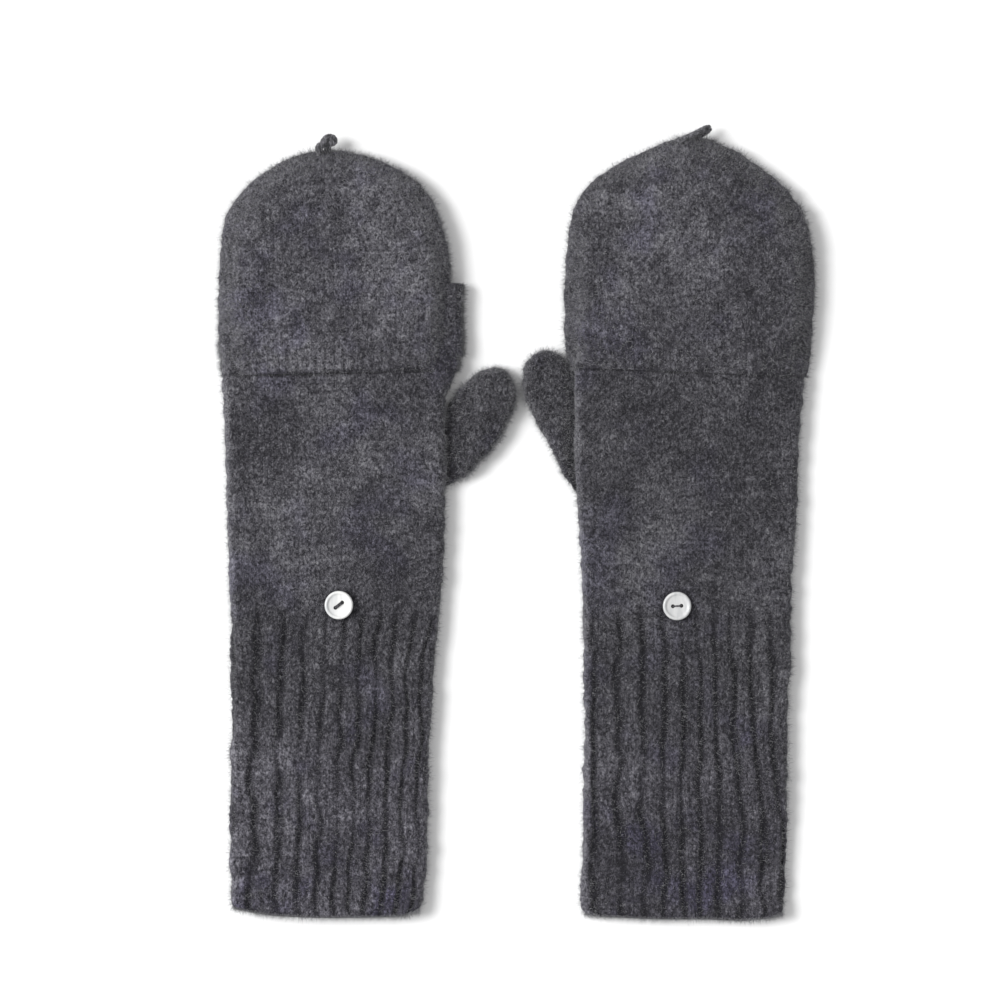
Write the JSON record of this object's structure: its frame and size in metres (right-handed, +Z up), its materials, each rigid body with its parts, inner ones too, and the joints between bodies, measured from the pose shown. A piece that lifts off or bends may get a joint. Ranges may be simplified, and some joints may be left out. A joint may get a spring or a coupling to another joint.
{
  "type": "convertible flip-top mittens",
  "caption": "Pair of knitted mittens with long ribbed cuffs, open finger stalls, closed thumbs and caps that flip back to a loop and button.",
  "frame": {"origin": "middle of the pair's bounding box, on the surface that the mittens lie on", "axes": "+Z up, +Y towards the fingertips, +X towards the right mitten"},
  "size_m": [0.266, 0.3558, 0.0164],
  "materials": {
    "knit": "felted stockinette knit, charcoal melange",
    "rib": "two by two ribbed knit, charcoal melange",
    "hem": "knitted hem band, charcoal melange",
    "yarn": "twisted yarn, charcoal melange",
    "shell": "polished shell button, faintly pearly",
    "thread": "dark sewing thread"
  },
  "bodies": {
    "left_hand": {"left_hand_tube": "knit", "left_cuff_top": "rib", "left_little_stall": "knit", "left_ring_stall": "knit", "left_middle_stall": "knit", "left_index_stall": "knit", "left_thumb_gusset": "knit", "left_cap_seam": "yarn"},
    "left_cuff": {"left_cuff": "rib"},
    "left_thumb": {"left_thumb_stall": "knit"},
    "left_cap": {"left_cap_hem": "hem", "left_cap_pocket": "knit", "left_loop_tack": "yarn"},
    "left_loop": {"left_button_loop": "yarn"},
    "left_button": {"left_button": "shell", "left_button_thread": "thread"},
    "right_hand": {"right_hand_tube": "knit", "right_cuff_top": "rib", "right_little_stall": "knit", "right_ring_stall": "knit", "right_middle_stall": "knit", "right_index_stall": "knit", "right_thumb_gusset": "knit", "right_cap_seam": "yarn"},
    "right_cuff": {"right_cuff": "rib"},
    "right_thumb": {"right_thumb_stall": "knit"},
    "right_cap": {"right_cap_hem": "hem", "right_cap_pocket": "knit", "right_loop_tack": "yarn"},
    "right_loop": {"right_button_loop": "yarn"},
    "right_button": {"right_button": "shell", "right_button_thread": "thread"}
  },
  "joints": [
    {"name": "left_cap_flip", "type": "hinge", "parent": "left_hand", "child": "left_cap", "pos_m": [-0.08005, 0.06566, 0.01345], "axis": [1, 0, 0], "range_deg": [0, 180]},
    {"name": "left_loop_swing", "type": "hinge", "parent": "left_cap", "child": "left_loop", "pos_m": [-0.08445, 0.16496, 0.0122], "axis": [1, 0, 0], "range_deg": [-25, 0], "stiffness_Nm_per_rad": 0.0002},
    {"name": "left_button_twist", "type": "hinge", "parent": "left_hand", "child": "left_button", "pos_m": [-0.07875, -0.03804, 0.008], "axis": [0, 0, 1], "range_deg": [-30, 30], "stiffness_Nm_per_rad": 0.0002},
    {"name": "left_thumb_fold", "type": "hinge", "parent": "left_hand", "child": "left_thumb", "pos_m": [-0.02228, 0.04041, 0.0078], "axis": [-0.8471, 0.5314, 0], "range_deg": [-50, 0]},
    {"name": "left_wrist_bend", "type": "hinge", "parent": "left_hand", "child": "left_cuff", "pos_m": [-0.08005, -0.04874, 0.008], "axis": [-1, 0, 0], "range_deg": [0, 50]},
    {"name": "right_cap_flip", "type": "hinge", "parent": "right_hand", "child": "right_cap", "pos_m": [0.07745, 0.06616, 0.01345], "axis": [1, 0, 0], "range_deg": [0, 180]},
    {"name": "right_loop_swing", "type": "hinge", "parent": "right_cap", "child": "right_loop", "pos_m": [0.08045, 0.16996, 0.0122], "axis": [1, 0, 0], "range_deg": [-25, 0], "stiffness_Nm_per_rad": 0.0002},
    {"name": "right_button_twist", "type": "hinge", "parent": "right_hand", "child": "right_button", "pos_m": [0.07165, -0.03844, 0.008], "axis": [0, 0, 1], "range_deg": [-30, 30], "stiffness_Nm_per_rad": 0.0002},
    {"name": "right_thumb_fold", "type": "hinge", "parent": "right_hand", "child": "right_thumb", "pos_m": [0.02525, 0.03945, 0.0078], "axis": [-0.866, -0.5, 0], "range_deg": [-50, 0]},
    {"name": "right_wrist_bend", "type": "hinge", "parent": "right_hand", "child": "right_cuff", "pos_m": [0.07745, -0.04844, 0.008], "axis": [-1, 0, 0], "range_deg": [0, 50]},
    {"name": "right_lift", "type": "slide", "parent": "left_hand", "child": "right_hand", "axis": [0, 0, 1], "range_m": [0, 0.06]}
  ]
}
